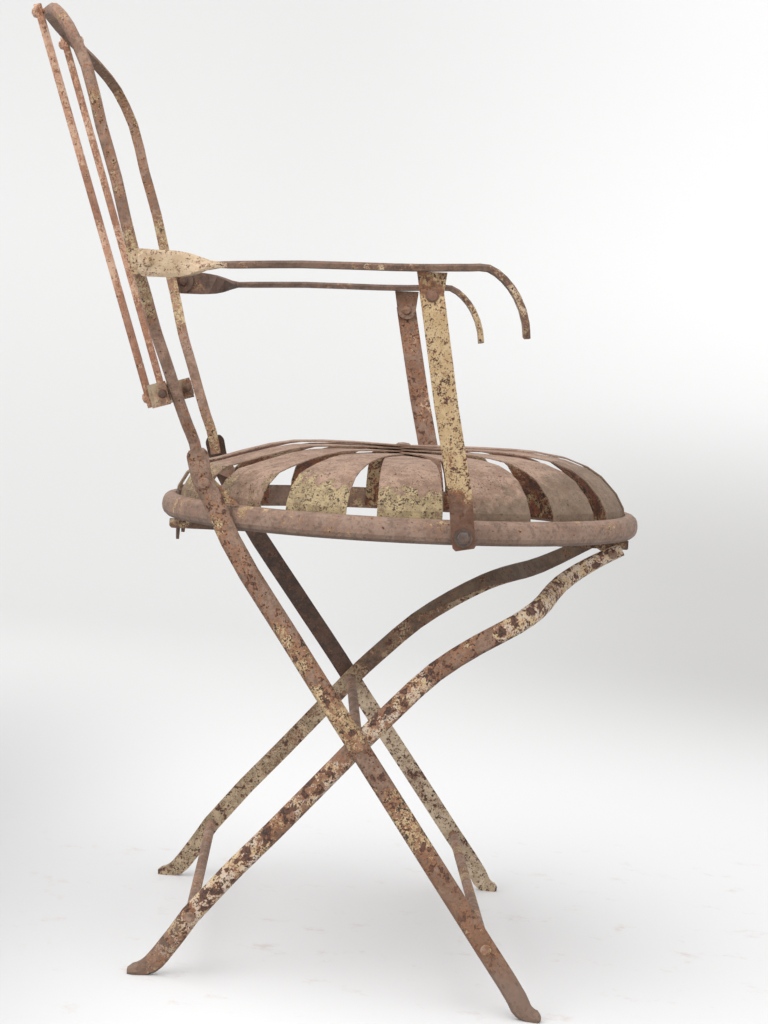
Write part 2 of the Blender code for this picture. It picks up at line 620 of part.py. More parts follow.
cross_rod("rear_stretcher", "rear_legs", rear_stretcher_x, rear_stretcher_z,
          rear_stretcher_half - LEG_THICK / 2, rear_stretcher_half + LEG_THICK / 2,
          ease=GAP * 3, colour=RUST)
cross_rod("top_cross_pin", "rear_legs", TOP_PIN_X, TOP_PIN_Z, LEG_TOP_HALF - LEG_THICK / 2,
          LEG_TOP_HALF + LEG_THICK / 2, thick=TOP_PIN_RADIUS, shank=RIVET_RADIUS * 0.8,
          head=0.0042, ease=GAP * 3)

# Seat ring: a half-round bar bent flat side inwards
ring_steps = 64
top_flat = 0.003
section = [(RING_INSIDE, RING_TOP), (RING_INSIDE + top_flat, RING_TOP)]
for i in range(1, 8):
    angle = math.pi / 2 - math.pi * i / 8
    section.append((RING_INSIDE + top_flat + (RING_DEEP - top_flat) * math.cos(angle) ** 0.8,
                    SEAT_LEVEL + RING_TALL / 2 * math.sin(angle)))
section += [(RING_INSIDE + top_flat, RING_BOTTOM), (RING_INSIDE, RING_BOTTOM),
            (RING_INSIDE, RING_TOP)]
ring = turned("seat_ring", [(r, z) for r, z in section], "seat", PATINA, (0, 0, 0), (0, 0, 0),
              ring_steps)

# Seat strips: sprung steel strips from rim to rim over the dome, crossing at the centre
strip_outside = RING_INSIDE * math.cos(math.pi / ring_steps) - GAP
strip_end = SEAT_LEVEL - STRIP_DIP
strip_step = STRIP_THICK + GAP


def dome_profile(lift):
    """Radius, height and sag of a strip's outer face, from its end at the ring to the centre."""
    apex = SEAT_LEVEL + DOME_RISE
    rim = strip_outside
    spots = [(rim, 0, strip_end), (rim, 0, RING_TOP - 0.002), (rim - 0.0012, 0, RING_TOP + 0.006),
             (rim - 0.0085, 0, RING_TOP + 0.0190), (rim - 0.0225, 0.45, RING_TOP + 0.0315),
             (rim - 0.0360, 0.95, RING_TOP + 0.0375), (rim - 0.0560, 1, RING_TOP + 0.0420),
             (rim - 0.0820, 0.55, apex - 0.0010), (rim * 0.50, 0.2, apex - 0.0002),
             (rim * 0.36, 0.05, apex), (rim * 0.22, 0, apex - 0.0002),
             (rim * 0.10, 0, apex - 0.0007), (0, 0, apex - 0.0012)]
    raised = []
    for x, sag, z in spots:
        fade = min(1, max(0, (rim - 0.012 - x) / (rim * 0.40)))
        raised.append((x, sag * REAR_SAG, z + lift * fade * (2 - fade)))
    return [(p.x, p.z, max(0, p.y)) for p in smooth_path(raised, 1)]


def strip_half(radius):
    """Half the width of a strip at this distance from the centre."""
    share = (radius / strip_outside) ** 0.75
    return (STRIP_WIDE_MIDDLE + (STRIP_WIDE_RIM - STRIP_WIDE_MIDDLE) * share) / 2


# From the lowest in the stack to the topmost: across the chair first, front to back last
stack = sorted(range(STRIP_COUNT), key=lambda step: (abs(step - STRIP_COUNT / 2), step))
for level, index in enumerate(stack):
    heading = math.pi * index / STRIP_COUNT
    along = Vector((math.cos(heading), math.sin(heading), 0))
    across = Vector((-along.y, along.x, 0))
    profile = dome_profile(level * strip_step)
    rows = [(spot, 1) for spot in profile] + [(spot, -1) for spot in reversed(profile[:-1])]
    bm = bmesh.new()
    grid = []
    for (radius, height, sag), end in rows:
        line = []
        for step in (-1, -1 / 3, 1 / 3, 1):
            offset = strip_half(radius) * step
            reach = math.sqrt(radius**2 - offset**2) if radius > 0.10 else radius
            spot = along * (reach * end) + across * offset
            rearward = max(0, -spot.x / max(radius, 0.01))
            line.append(bm.verts.new((spot.x, spot.y, height - sag * rearward)))
        grid.append(line)
    for one, two in zip(grid, grid[1:]):
        for j in range(3):
            bm.faces.new((one[j], one[j + 1], two[j + 1], two[j]))
    mesh = bpy.data.meshes.new("strip")
    bm.to_mesh(mesh)
    bm.free()
    strip = add("seat_strip_%d" % (level + 1), mesh, "seat", PATINA)
    wall = strip.modifiers.new("thickness", "SOLIDIFY")
    wall.thickness = STRIP_THICK
    wall.offset = -1
    wall.use_even_offset = False
    bm = bmesh.new()
    bmesh.ops.create_cone(bm, cap_ends=True, segments=14, radius1=RIVET_RADIUS + PIN_PLAY,
                          radius2=RIVET_RADIUS + PIN_PLAY, depth=0.05)
    cutter = bpy.data.objects.new("drill_strip", mesh_from(bm, "drill_strip"))
    cutter.parent = chair
    cutter.location = (0, 0, SEAT_LEVEL + DOME_RISE)
    cut_with(strip, cutter)

stack_low = SEAT_LEVEL + DOME_RISE - 0.0012 - STRIP_THICK - GAP
stack_high = SEAT_LEVEL + DOME_RISE - 0.0009 + (STRIP_COUNT - 1) * strip_step + GAP
profile = head_top(stack_high, 0.0070, 0.0020) + [(RIVET_RADIUS, stack_high),
                                                  (RIVET_RADIUS, stack_low)]
profile += head_top(stack_low, 0.0070, 0.0025, -1)[::-1]
turned("centre_rivet", profile, "seat", PATINA, (0, 0, 0), (0, 0, 0), 16)

# Bearers: two square bars under the ring, along which the top cross pin slides, each with a
# stop under it in front of the pin
for side, hand in ((-1, "right"), (1, "left")):
    rear_x = -ring_half(BEARER_HALF) + 0.003
    front_x = ring_half(BEARER_HALF) - 0.0065
    stop_rear = TOP_PIN_X + TOP_PIN_RADIUS + GAP
    stop_low = TOP_PIN_Z - TOP_PIN_RADIUS
    outline = [(rear_x, BEARER_TOP), (rear_x, BEARER_BOTTOM + 0.002),
               (rear_x + 0.002, BEARER_BOTTOM), (stop_rear, BEARER_BOTTOM), (stop_rear, stop_low),
               (stop_rear + 0.005, stop_low), (stop_rear + 0.005, BEARER_BOTTOM),
               (front_x - 0.001, BEARER_BOTTOM), (front_x, BEARER_BOTTOM + 0.001),
               (front_x, BEARER_TOP)]
    shape = bpy.data.curves.new("bearer", "CURVE")
    shape.dimensions = "2D"
    shape.fill_mode = "BOTH"
    shape.extrude = BEARER_WIDE / 2
    spline = shape.splines.new("POLY")
    spline.points.add(len(outline) - 1)
    for point, (x, z) in zip(spline.points, outline):
        point.co = (x, z, 0, 1)
    spline.use_cyclic_u = True
    add("bearer_" + hand, shape, "seat", DARK_IRON, (0, side * BEARER_HALF, 0),
        (math.pi / 2, 0, 0))

# Catches: upright plates inside the rear of the ring, each with a prong under it
catch_angle = math.radians(180 - 180 / STRIP_COUNT / 2)
for side, hand in ((-1, "right"), (1, "left")):
    angle = side * catch_angle
    out = Vector((math.cos(angle), math.sin(angle), 0))
    across = Vector((-out.y, out.x, 0))
    flat = RING_INSIDE * math.cos(math.pi / ring_steps) - GAP
    flat = math.sqrt(flat**2 - (CATCH_WIDE / 2) ** 2)
    bm = bmesh.new()
    for a, z in ((-1, RING_TOP + 0.004), (1, RING_TOP + 0.004), (-1, RING_BOTTOM - 0.004),
                 (1, RING_BOTTOM - 0.004), (-0.3, RING_BOTTOM - 0.020),
                 (0.3, RING_BOTTOM - 0.020)):
        for depth in (0, CATCH_THICK):
            spot = out * (flat - depth) + across * (a * CATCH_WIDE / 2)
            bm.verts.new((spot.x, spot.y, z))
    bmesh.ops.convex_hull(bm, input=bm.verts)
    bmesh.ops.dissolve_limit(bm, angle_limit=0.01, verts=bm.verts, edges=bm.edges)
    add("rear_catch_" + hand, mesh_from(bm, "catch"), "seat", DARK_IRON)

# Pivot ears: plates standing on the ring beside the stiles, with the pivot rivets
ear_half = PIVOT_HALF - STILE_THICK / 2 - GAP * 2 - EAR_THICK / 2
for side, hand in ((-1, "right"), (1, "left")):
    foot = RING_TOP + GAP
    outside = -ring_half(ear_half, SEAT_RADIUS - 0.001)
    inside = outside + 0.0078
    outline = [(outside, foot), (inside, foot)] + arc(PIVOT_X, PIVOT_Z, 0.0085)
    ear = plate("pivot_ear_" + hand, outline, side * ear_half, EAR_THICK, "seat", PATINA)
    drill(ear, PIVOT_X, PIVOT_Z, RIVET_RADIUS + PIN_PLAY)
    rivet("seat_rivet_" + hand, "frame", PIVOT_X, PIVOT_Z, ear_half - EAR_THICK / 2,
          PIVOT_HALF + STILE_THICK / 2, side)

# Arms: an upright tab on the bracket, a quarter twist, then a flat rest that scrolls down
post_top_half = ARM_HALF + 0.0052


def arm_points(side):
    """Middle line of an arm from its rear end to the end of the scroll."""
    high = ARM_LEVEL + 0.0085
    tab = arm_pivot_half
    spots = [
        (ARM_PIVOT_X - 0.0086, ARM_LEVEL - 0.0009, tab),
        (ARM_PIVOT_X, ARM_LEVEL - 0.0009, tab),
        (ARM_PIVOT_X + 0.0110, ARM_LEVEL - 0.0008, tab),
        (ARM_PIVOT_X + 0.0260, ARM_LEVEL - 0.0006, tab + 0.0010),
        (ARM_PIVOT_X + 0.0420, ARM_LEVEL - 0.0002, tab + 0.0030),
        (ARM_PIVOT_X + 0.0570, ARM_LEVEL + 0.0004, tab + 0.0052),
        (ARM_PIVOT_X + 0.0720, ARM_LEVEL + 0.0012, tab + 0.0075),
        (ARM_PIVOT_X + 0.1250, ARM_LEVEL + 0.0041, ARM_HALF - 0.0065),
        (POST_TOP_X - 0.0300, ARM_LEVEL + 0.0055, ARM_HALF - 0.0012),
        (POST_TOP_X, ARM_LEVEL + 0.0066, ARM_HALF),
        (POST_TOP_X + 0.0300, high - 0.0002, ARM_HALF),
        (POST_TOP_X + 0.0450, high, ARM_HALF),
        (POST_TOP_X + 0.0581, high - 0.0082, ARM_HALF),
        (POST_TOP_X + 0.0694, high - 0.0221, ARM_HALF),
        (POST_TOP_X + 0.0775, high - 0.0429, ARM_HALF - 0.001),
        (POST_TOP_X + 0.0790, high - SCROLL_DROP, ARM_HALF - 0.0025),
    ]
    return [(x, side * half, z) for x, z, half in spots]


for side, hand in ((-1, "right"), (1, "left")):
    spans = 2
    path = smooth_path(arm_points(side), spans)
    sections = []
    twists = []
    for i in range(len(path)):
        knot = i / spans
        twist = min(1, max(0, (knot - 2.6) / 2.6))
        twists.append(math.pi / 2 * twist * twist * (3 - 2 * twist))
        thin = min(1, max(0, (knot - 3) / 3))
        tip = min(1, max(0, knot - 13) / 2)
        wide = ARM_TAB_TALL + (ARM_WIDE - ARM_TAB_TALL) * thin
        wide *= 1 - 0.12 * math.sin(math.pi * min(1, max(0, (knot - 2.6) / 2.6)))
        sections.append(oval(wide * (1 - 0.3 * tip),
                             ARM_TAB_THICK + (ARM_THICK - ARM_TAB_THICK) * thin, flank=0.6))
    sections[0] = oval(ARM_TAB_TALL * 0.62, ARM_TAB_THICK, flank=0.6)

    def arm_way(i, tangent):
        """From upright at the tab to level along the rest."""
        up = Vector((-tangent.z, 0, tangent.x)).normalized()
        return up * math.cos(twists[i]) + Vector((0, -side, 0)) * math.sin(twists[i])

    arm = bar("arm_" + hand, path, sections, arm_way, (0, side, 0), "arm_" + hand, CREAM)
    drill(arm, ARM_PIVOT_X, ARM_LEVEL, RIVET_RADIUS + PIN_PLAY)
    # The lug that hangs from the arm on the inner side of the post
    lug_half = post_top_half - POST_THICK / 2 - GAP - LUG_THICK / 2
    lug_top = ARM_LEVEL + 0.0066 - ARM_THICK / 2 - GAP - 0.0005
    outline = [(POST_TOP_X - 0.0130, lug_top), (POST_TOP_X + 0.0115, lug_top + 0.0002),
               (POST_TOP_X - 0.0100, lug_top - 0.0045), (POST_TOP_X + 0.0100, lug_top - 0.0045)]
    outline += arc(POST_TOP_X, POST_TOP_Z, 0.0095, 180, 360, 8)
    lug = plate("arm_lug_" + hand, outline, side * lug_half, LUG_THICK, "arm_" + hand, RUST)
    drill(lug, POST_TOP_X, POST_TOP_Z, RIVET_RADIUS + PIN_PLAY)
    rivet("post_rivet_" + hand, "arm_" + hand, POST_TOP_X, POST_TOP_Z,
          lug_half - LUG_THICK / 2, post_top_half + POST_THICK / 2, side)

# Posts: flat bars from the arm lugs down to the seat ring
post_foot_half = ring_half(POST_FOOT_X - POST_WIDE / 2) + GAP + POST_THICK / 2 + 0.0004
for side, hand in ((-1, "right"), (1, "left")):
    top = Vector((POST_TOP_X, side * post_top_half, POST_TOP_Z))
    foot = Vector((POST_FOOT_X, side * post_foot_half, POST_FOOT_Z))
    run = Vector((foot.x - top.x, 0, foot.z - top.z)).normalized()
    joggle = RING_TOP + 0.012
    spots = [top - run * 0.0065, top - run * 0.0040, top + run * 0.012,
             top.lerp(foot, 0.45),
             (foot.x - 0.0045, side * (post_foot_half + 0.0040), joggle + 0.010),
             (foot.x - 0.0025, side * (post_foot_half + 0.0004), joggle - 0.004), foot,
             foot + run * 0.0075, foot + run * 0.0100]
    path = [Vector(p) for p in spots]
    sections = [slab(POST_WIDE, POST_THICK)] * len(path)
    sections[0] = slab(POST_WIDE * 0.8, POST_THICK)
    sections[-1] = slab(POST_WIDE * 0.8, POST_THICK)
    post = bar("arm_post_" + hand, path, sections, side_on, (0, side, 0), "post_" + hand, CREAM)
    drill(post, POST_TOP_X, POST_TOP_Z, RIVET_RADIUS + PIN_PLAY)
    drill(post, POST_FOOT_X, POST_FOOT_Z, RIVET_RADIUS + POST_BOLT_PLAY)

# Post bolts, washers and nuts on the seat ring
for side, hand in ((-1, "right"), (1, "left")):
    outer = post_foot_half + POST_THICK / 2 + GAP + 0.0004
    drill(ring, POST_FOOT_X, POST_FOOT_Z, RIVET_RADIUS + PIN_PLAY, *sorted((0, side * 0.4)))
    washer = [(WASHER_RADIUS, outer + WASHER_THICK), (WASHER_RADIUS, outer),
              (RIVET_RADIUS + PIN_PLAY, outer), (RIVET_RADIUS + PIN_PLAY, outer + WASHER_THICK),
              (WASHER_RADIUS, outer + WASHER_THICK)]
    turned("bolt_washer_" + hand, washer, "seat", PATINA, (POST_FOOT_X, 0, POST_FOOT_Z),
           (-side * math.pi / 2, 0, 0))
    seat_face = outer + WASHER_THICK + GAP
    nut_face = ring_half(POST_FOOT_X + 0.0058, RING_INSIDE) - GAP - 0.0006
    end = nut_face - 0.0075
    bolt = [(0, seat_face + 0.0042), (BOLT_HEAD * 0.8, seat_face + 0.0042),
            (BOLT_HEAD, seat_face + 0.0034), (BOLT_HEAD, seat_face), (RIVET_RADIUS, seat_face),
            (RIVET_RADIUS, end), (0, end)]
    turned("post_bolt_" + hand, bolt, "seat", DARK_IRON, (POST_FOOT_X, 0, POST_FOOT_Z),
           (-side * math.pi / 2, 0, 0), 6)
    nut = [(0.0054, nut_face), (0.0054, nut_face - 0.0045),
           (RIVET_RADIUS + PIN_PLAY, nut_face - 0.0045), (RIVET_RADIUS + PIN_PLAY, nut_face),
           (0.0054, nut_face)]
    turned("post_nut_" + hand, nut, "seat", DARK_IRON, (POST_FOOT_X, 0, POST_FOOT_Z),
           (-side * math.pi / 2, 0, 0), 6)
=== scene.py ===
import math
from statistics import NormalDist

import bmesh
import bpy
from mathutils import Matrix, Vector


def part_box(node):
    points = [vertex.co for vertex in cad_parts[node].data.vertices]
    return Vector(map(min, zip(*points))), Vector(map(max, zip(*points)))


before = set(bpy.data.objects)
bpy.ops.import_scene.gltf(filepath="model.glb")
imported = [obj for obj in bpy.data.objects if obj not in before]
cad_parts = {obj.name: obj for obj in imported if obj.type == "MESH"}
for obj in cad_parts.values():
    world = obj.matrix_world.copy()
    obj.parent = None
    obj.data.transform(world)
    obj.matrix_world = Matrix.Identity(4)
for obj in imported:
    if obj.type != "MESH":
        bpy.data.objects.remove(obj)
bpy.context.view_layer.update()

# Camera
# The photograph is taken from the chair's right, a little above the seat, with a long lens
# turned slightly towards the front, tipped down and not quite level.
PHOTO_HIGH = 1024
FOCAL_PIXELS = 2188
SENSOR_HIGH = 24
YAW, PITCH, ROLL = 0.03621, 0.0668, 0.09161
CAMERA_PLACE = (-0.01694, -2.0254, 0.5361)
ahead = Vector((math.sin(YAW) * math.cos(PITCH), math.cos(YAW) * math.cos(PITCH), -math.sin(PITCH)))
level = Vector((math.cos(YAW), -math.sin(YAW), 0))
above = level.cross(ahead)
right = level * math.cos(ROLL) + above * math.sin(ROLL)
up = above * math.cos(ROLL) - level * math.sin(ROLL)
lens = bpy.data.cameras.new("camera")
lens.sensor_fit = "VERTICAL"
lens.sensor_height = SENSOR_HIGH
lens.lens = FOCAL_PIXELS / PHOTO_HIGH * SENSOR_HIGH
camera = bpy.data.objects.new("camera", lens)
turned = Matrix((right, up, -ahead)).transposed().to_4x4()
camera.matrix_world = Matrix.Translation(CAMERA_PLACE) @ turned
bpy.context.scene.collection.objects.link(camera)
bpy.context.scene.camera = camera

# Studio
# A white paper sweep that runs level under the chair and curves up behind it, lit from all
# round, with one large soft lamp overhead and a weaker one beside the camera.
SWEEP_HALF = 6.0
SWEEP_FRONT = -4.0
SWEEP_BEND = 2.2            # where the paper starts to curve up
BEND_RADIUS = 1.4
BEND_STEP = 6               # degrees
WALL_TOP = 6.0
paper = bmesh.new()
edge = [(SWEEP_FRONT, 0), (-1, 0), (0, 0), (1, 0)]
edge += [(SWEEP_BEND + BEND_RADIUS * math.sin(math.radians(a)),
          BEND_RADIUS * (1 - math.cos(math.radians(a)))) for a in range(0, 91, BEND_STEP)]
edge.append((SWEEP_BEND + BEND_RADIUS, WALL_TOP))
rows = [[paper.verts.new((side * SWEEP_HALF, y, z)) for side in (-1, 1)] for y, z in edge]
for one, two in zip(rows, rows[1:]):
    paper.faces.new((one[0], one[1], two[1], two[0]))
mesh = bpy.data.meshes.new("sweep")
paper.to_mesh(mesh)
paper.free()
mesh.shade_smooth()
sweep = bpy.data.objects.new("sweep", mesh)
bpy.context.scene.collection.objects.link(sweep)


def feed(tree, kind, inputs=None, **options):
    """Add a shader node, set its options, and give each input a value or link it."""
    made = tree.nodes.new(kind)
    for name, value in options.items():
        setattr(made, name, value)
    for name, value in (inputs or {}).items():
        if isinstance(value, bpy.types.NodeSocket):
            tree.links.new(value, made.inputs[name])
        else:
            made.inputs[name].default_value = value
    return made


def grain(tree, at, size, seed=0.0, detail=4.0, rough=0.6):
    """Noise whose blotches are about this size in metres."""
    made = feed(tree, "ShaderNodeTexNoise", {"Vector": at, "W": seed, "Scale": 1 / size,
                "Detail": detail, "Roughness": rough}, noise_dimensions="4D")
    return made.outputs[0]


def reckon(tree, work, a, b=0.0, c=0.0):
    """One step of arithmetic."""
    return feed(tree, "ShaderNodeMath", {0: a, 1: b, 2: c}, operation=work).outputs[0]


def rise(tree, value, low, high, most=1.0):
    """From 0 below low to most above high, smoothly."""
    return feed(tree, "ShaderNodeMapRange", {"Value": value, "From Min": low, "From Max": high,
                "To Min": 0.0, "To Max": most}, interpolation_type="SMOOTHSTEP").outputs[0]


def blend(tree, share, a, b):
    """Colour a, turning to b as share goes from 0 to 1."""
    a, b = [c if isinstance(c, bpy.types.NodeSocket) else (*c, 1) for c in (a, b)]
    return feed(tree, "ShaderNodeMix", {0: share, 6: a, 7: b}, data_type="RGBA").outputs[2]


def new_finish(name):
    """A material with its tree, surface shader, position in the chair and facing."""
    material = bpy.data.materials.new(name)
    material.use_nodes = True
    tree = material.node_tree
    surface = tree.nodes["Principled BSDF"]
    where = tree.nodes.new("ShaderNodeTexCoord").outputs
    return material, tree, surface, where["Object"], where["Normal"]


# The paper is darker where the lamps are strong, so that it comes out evenly pale.
WALL_WHITE = (0.785, 0.785, 0.785)
WALL_AWAY = (0.97, 0.97, 0.975)         # the wall's far end, where less light falls
FLOOR_WHITE = (0.72, 0.72, 0.725)
FLOOR_NEAR_LAMP = (0.46, 0.46, 0.465)
FAR_WHITE = (0.70, 0.70, 0.70)          # the floor behind the chair
HORIZON_SHADE_WHITE = (0.52, 0.515, 0.51)        # painted shade, low on the bend beyond the front of the chair
SCUFF_BROWN = (0.50, 0.38, 0.32)
HORIZON_SHADE_SHARE, SCUFF_SHARE = 0.7, 0.35
ROOM_LIGHT = (1.0, 0.997, 0.99)
ROOM_STRENGTH = 0.93
material, tree, surface, at, facing = new_finish("studio_paper")
along, deep, high = feed(tree, "ShaderNodeSeparateXYZ", {0: at}).outputs
tone = blend(tree, rise(tree, along, -0.02, -0.45), FLOOR_WHITE, FLOOR_NEAR_LAMP)
tone = blend(tree, rise(tree, deep, 0.2, 1.8), tone, FAR_WHITE)
wall = blend(tree, rise(tree, along, -0.2, 1.5), WALL_WHITE, WALL_AWAY)
tone = blend(tree, rise(tree, high, 0.02, 0.9), tone, wall)
# Painted shade: the paper turns greyer low on the bend, beyond the front of the chair.
horizon_shade = reckon(tree, "MULTIPLY", rise(tree, along, -0.1, 0.9),
                reckon(tree, "MULTIPLY", rise(tree, deep, 0.8, 2.0), rise(tree, high, 0.55, 0.1)))
tone = blend(tree, reckon(tree, "MULTIPLY", horizon_shade, HORIZON_SHADE_SHARE), tone, HORIZON_SHADE_WHITE)
scuffs = rise(tree, grain(tree, at, 0.05, 3.0, 7, 0.72), 0.56, 0.70, SCUFF_SHARE)
scuffs = reckon(tree, "MULTIPLY", scuffs, rise(tree, deep, 0.7, 0.2))
tree.links.new(blend(tree, scuffs, tone, SCUFF_BROWN), surface.inputs["Base Color"])
surface.inputs["Roughness"].default_value = 0.9
surface.inputs["Specular IOR Level"].default_value = 0.1
sweep.data.materials.append(material)

world = bpy.data.worlds.new("room")
world.use_nodes = True
background = world.node_tree.nodes["Background"]
background.inputs["Color"].default_value = (*ROOM_LIGHT, 1)
background.inputs["Strength"].default_value = ROOM_STRENGTH
bpy.context.scene.world = world
bpy.context.scene.view_settings.view_transform = "Standard"


def soft_lamp(name, place, aim, wide, watts):
    """A square soft box at a place, turned towards a point."""
    light = bpy.data.lights.new(name, "AREA")
    light.size = wide
    light.energy = watts
    lamp = bpy.data.objects.new(name, light)
    lamp.location = place
    lamp.rotation_euler = (Vector(aim) - Vector(place)).to_track_quat("-Z", "Y").to_euler()
    bpy.context.scene.collection.objects.link(lamp)


CHAIR_MIDDLE = (0, 0, 0.4)
soft_lamp("overhead", (-0.5, -0.7, 2.8), CHAIR_MIDDLE, wide=3.2, watts=62)
soft_lamp("beside_camera", (-2.0, -2.1, 1.6), CHAIR_MIDDLE, wide=1.8, watts=24)

# Stiles
# Forged half-round bars from the knuckles behind the seat down to the front toes. The cream
# paint is left in bands and along the rear edge, flaked over rust, with bare iron between.
TAUPE = (0.175, 0.108, 0.072)
MAUVE = (0.255, 0.165, 0.118)
CREAM = (0.53, 0.385, 0.22)
OLD_CREAM = (0.36, 0.25, 0.13)
CHALK = (0.56, 0.45, 0.35)
ORANGE = (0.31, 0.115, 0.042)
RED_BROWN = (0.115, 0.048, 0.028)
# Soot black for real pits and bared rust, and also the colour of the painted shade on undersides.
SOOT_AND_SHADE = (0.032, 0.020, 0.014)
# The middle and the spread of each mix of noises that a share is cut from.
COVER_NOISE = (0.80, 0.056)
PIT_NOISE = (0.58, 0.045)
FLAKE_NOISE = (0.625, 0.07)


def bar_for(share, middle, spread):
    """The value that this share of a noise with this middle and spread lies above."""
    return middle + spread * NormalDist().inv_cdf(1 - share)


def climb(tree, at, wander, direction, low, high, most):
    """From 0 to most as the position along direction goes from low to high, with a ragged edge."""
    along = feed(tree, "ShaderNodeVectorMath", {0: at, 1: direction},
                 operation="DOT_PRODUCT").outputs["Value"]
    swing = 4 * (high - low)
    along = reckon(tree, "ADD", along, reckon(tree, "MULTIPLY_ADD", wander, swing, -swing / 2))
    return rise(tree, along, low, high, most)


def weathering(tree, at, facing, seed, iron=TAUPE, pale=MAUVE, paint=CREAM, aged=OLD_CREAM,
               rust=ORANGE, cover=0.5, chips=0.014, places=(), tints=(), pits=0.2,
               pit_size=0.0018, flakes=0.02, flake_size=0.008, shade=0.4):
    """Colour, height and roughness of painted iron that has stood out of doors.

    cover is the share of paint left, and each of places (direction, low, high, gain) adds gain
    to it as the position along direction goes from low to high. Each of tints is the same with
    a colour before the gain. pits and flakes are the shares of the paint that they take. shade
    is the share of painted shade laid on what faces down, darkening it towards soot.
    """
    broad = grain(tree, at, 0.055, seed, 3, 0.5)
    patch = grain(tree, at, chips, seed + 1.3, 6, 0.68)
    mid = grain(tree, at, 0.0042, seed + 2.7, 5, 0.7)
    fine = grain(tree, at, pit_size, seed + 8.8, 4, 0.7)
    grit = grain(tree, at, 0.0008, seed + 4.1, 2, 0.6)
    # Where this is high, paint is left.
    left = reckon(tree, "MULTIPLY_ADD", broad, 0.5, reckon(tree, "MULTIPLY", patch, 0.5))
    left = reckon(tree, "MULTIPLY_ADD", mid, 0.4, left)
    left = reckon(tree, "MULTIPLY_ADD", fine, 0.2, left)
    for direction, low, high, gain in places:
        left = reckon(tree, "ADD", left, climb(tree, at, patch, direction, low, high, gain))
    lip = bar_for(cover, *COVER_NOISE)
    painted = rise(tree, left, lip - 0.008, lip + 0.008)
    blush = rise(tree, left, lip - 0.06, lip - 0.004, 0.75)
    # Bare metal, rustier close to the paint's edge.
    bloom = rise(tree, grain(tree, at, 0.018, seed + 5.9, 5, 0.7), 0.42, 0.58)
    metal = blend(tree, bloom, iron, pale)
    metal = blend(tree, rise(tree, mid, 0.52, 0.36, 0.45), metal, SOOT_AND_SHADE)
    metal = blend(tree, rise(tree, fine, 0.53, 0.64, 0.6), metal, rust)
    metal = blend(tree, blush, metal, rust)
    # Paint, fresh and aged, with rust bleeding through.
    stain = rise(tree, grain(tree, at, 0.009, seed + 7.2, 5, 0.7), 0.42, 0.58)
    coat = blend(tree, stain, paint, aged)
    coat = blend(tree, rise(tree, mid, 0.54, 0.62, 0.5), coat, rust)
    colour = blend(tree, painted, metal, coat)
    # Pits with a rusty rim.
    holes = reckon(tree, "MULTIPLY_ADD", mid, 0.35, reckon(tree, "MULTIPLY", patch, 0.2))
    holes = reckon(tree, "MULTIPLY_ADD", fine, 0.55, holes)
    holes = reckon(tree, "MULTIPLY_ADD", painted, 0.03, holes)
    bar = bar_for(pits, *PIT_NOISE)
    colour = blend(tree, rise(tree, holes, bar - 0.012, bar + 0.012, 0.85), colour, RED_BROWN)
    pitted = rise(tree, holes, bar + 0.015, bar + 0.045)
    colour = blend(tree, pitted, colour, SOOT_AND_SHADE)
    # Flakes gone down to dark rust.
    scabs = reckon(tree, "MULTIPLY_ADD", mid, 0.25, grain(tree, at, flake_size, seed + 3.3, 4, 0.6))
    bar = bar_for(flakes, *FLAKE_NOISE)
    colour = blend(tree, rise(tree, scabs, bar - 0.035, bar - 0.005, 0.7), colour, rust)
    flaked = rise(tree, scabs, bar - 0.006, bar + 0.008)
    bared = blend(tree, rise(tree, fine, 0.42, 0.55), SOOT_AND_SHADE, RED_BROWN)
    colour = blend(tree, flaked, colour, bared)
    for direction, low, high, tint, gain in tints:
        colour = blend(tree, climb(tree, at, patch, direction, low, high, gain), colour, tint)
    # Painted shade: what faces down is darkened towards soot, by the share shade.
    upright = feed(tree, "ShaderNodeSeparateXYZ", {0: facing}).outputs[2]
    painted_underside_shade = rise(tree, reckon(tree, "MULTIPLY", upright, -1.0), 0.1, 0.95, shade)
    colour = blend(tree, painted_underside_shade, colour, SOOT_AND_SHADE)
    # Paint stands proud, pits and flakes are sunk, and the metal is gritty.
    height = reckon(tree, "MULTIPLY_ADD", painted, 0.35, reckon(tree, "MULTIPLY", patch, 0.6))
    height = reckon(tree, "MULTIPLY_ADD", reckon(tree, "MAXIMUM", pitted, flaked), -0.5, height)
    height = reckon(tree, "MULTIPLY_ADD", mid, 0.5, height)
    height = reckon(tree, "MULTIPLY_ADD", grit, 0.3, height)
    rough = reckon(tree, "MULTIPLY_ADD", painted, -0.12, 0.76)
    return colour, height, rough


RELIEF_STRENGTH = 0.8
RELIEF_DEPTH = 0.0007


def finish_with(tree, surface, colour, height, rough):
    """Put worked-out colour, height and roughness on the surface."""
    tree.links.new(colour, surface.inputs["Base Color"])
    tree.links.new(rough, surface.inputs["Roughness"])
    relief = feed(tree, "ShaderNodeBump",
                  {"Height": height, "Strength": RELIEF_STRENGTH, "Distance": RELIEF_DEPTH})
    tree.links.new(relief.outputs[0], surface.inputs["Normal"])


def aged_iron(name, seed, **how):
    """A material of weathered painted iron."""
    material, tree, surface, at, facing = new_finish(name)
    finish_with(tree, surface, *weathering(tree, at, facing, seed, **how))
    return material


def dress(material, *names):
    """Give CAD nodes a material."""
    for name in names:
        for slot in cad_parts[name].material_slots:
            slot.material = material


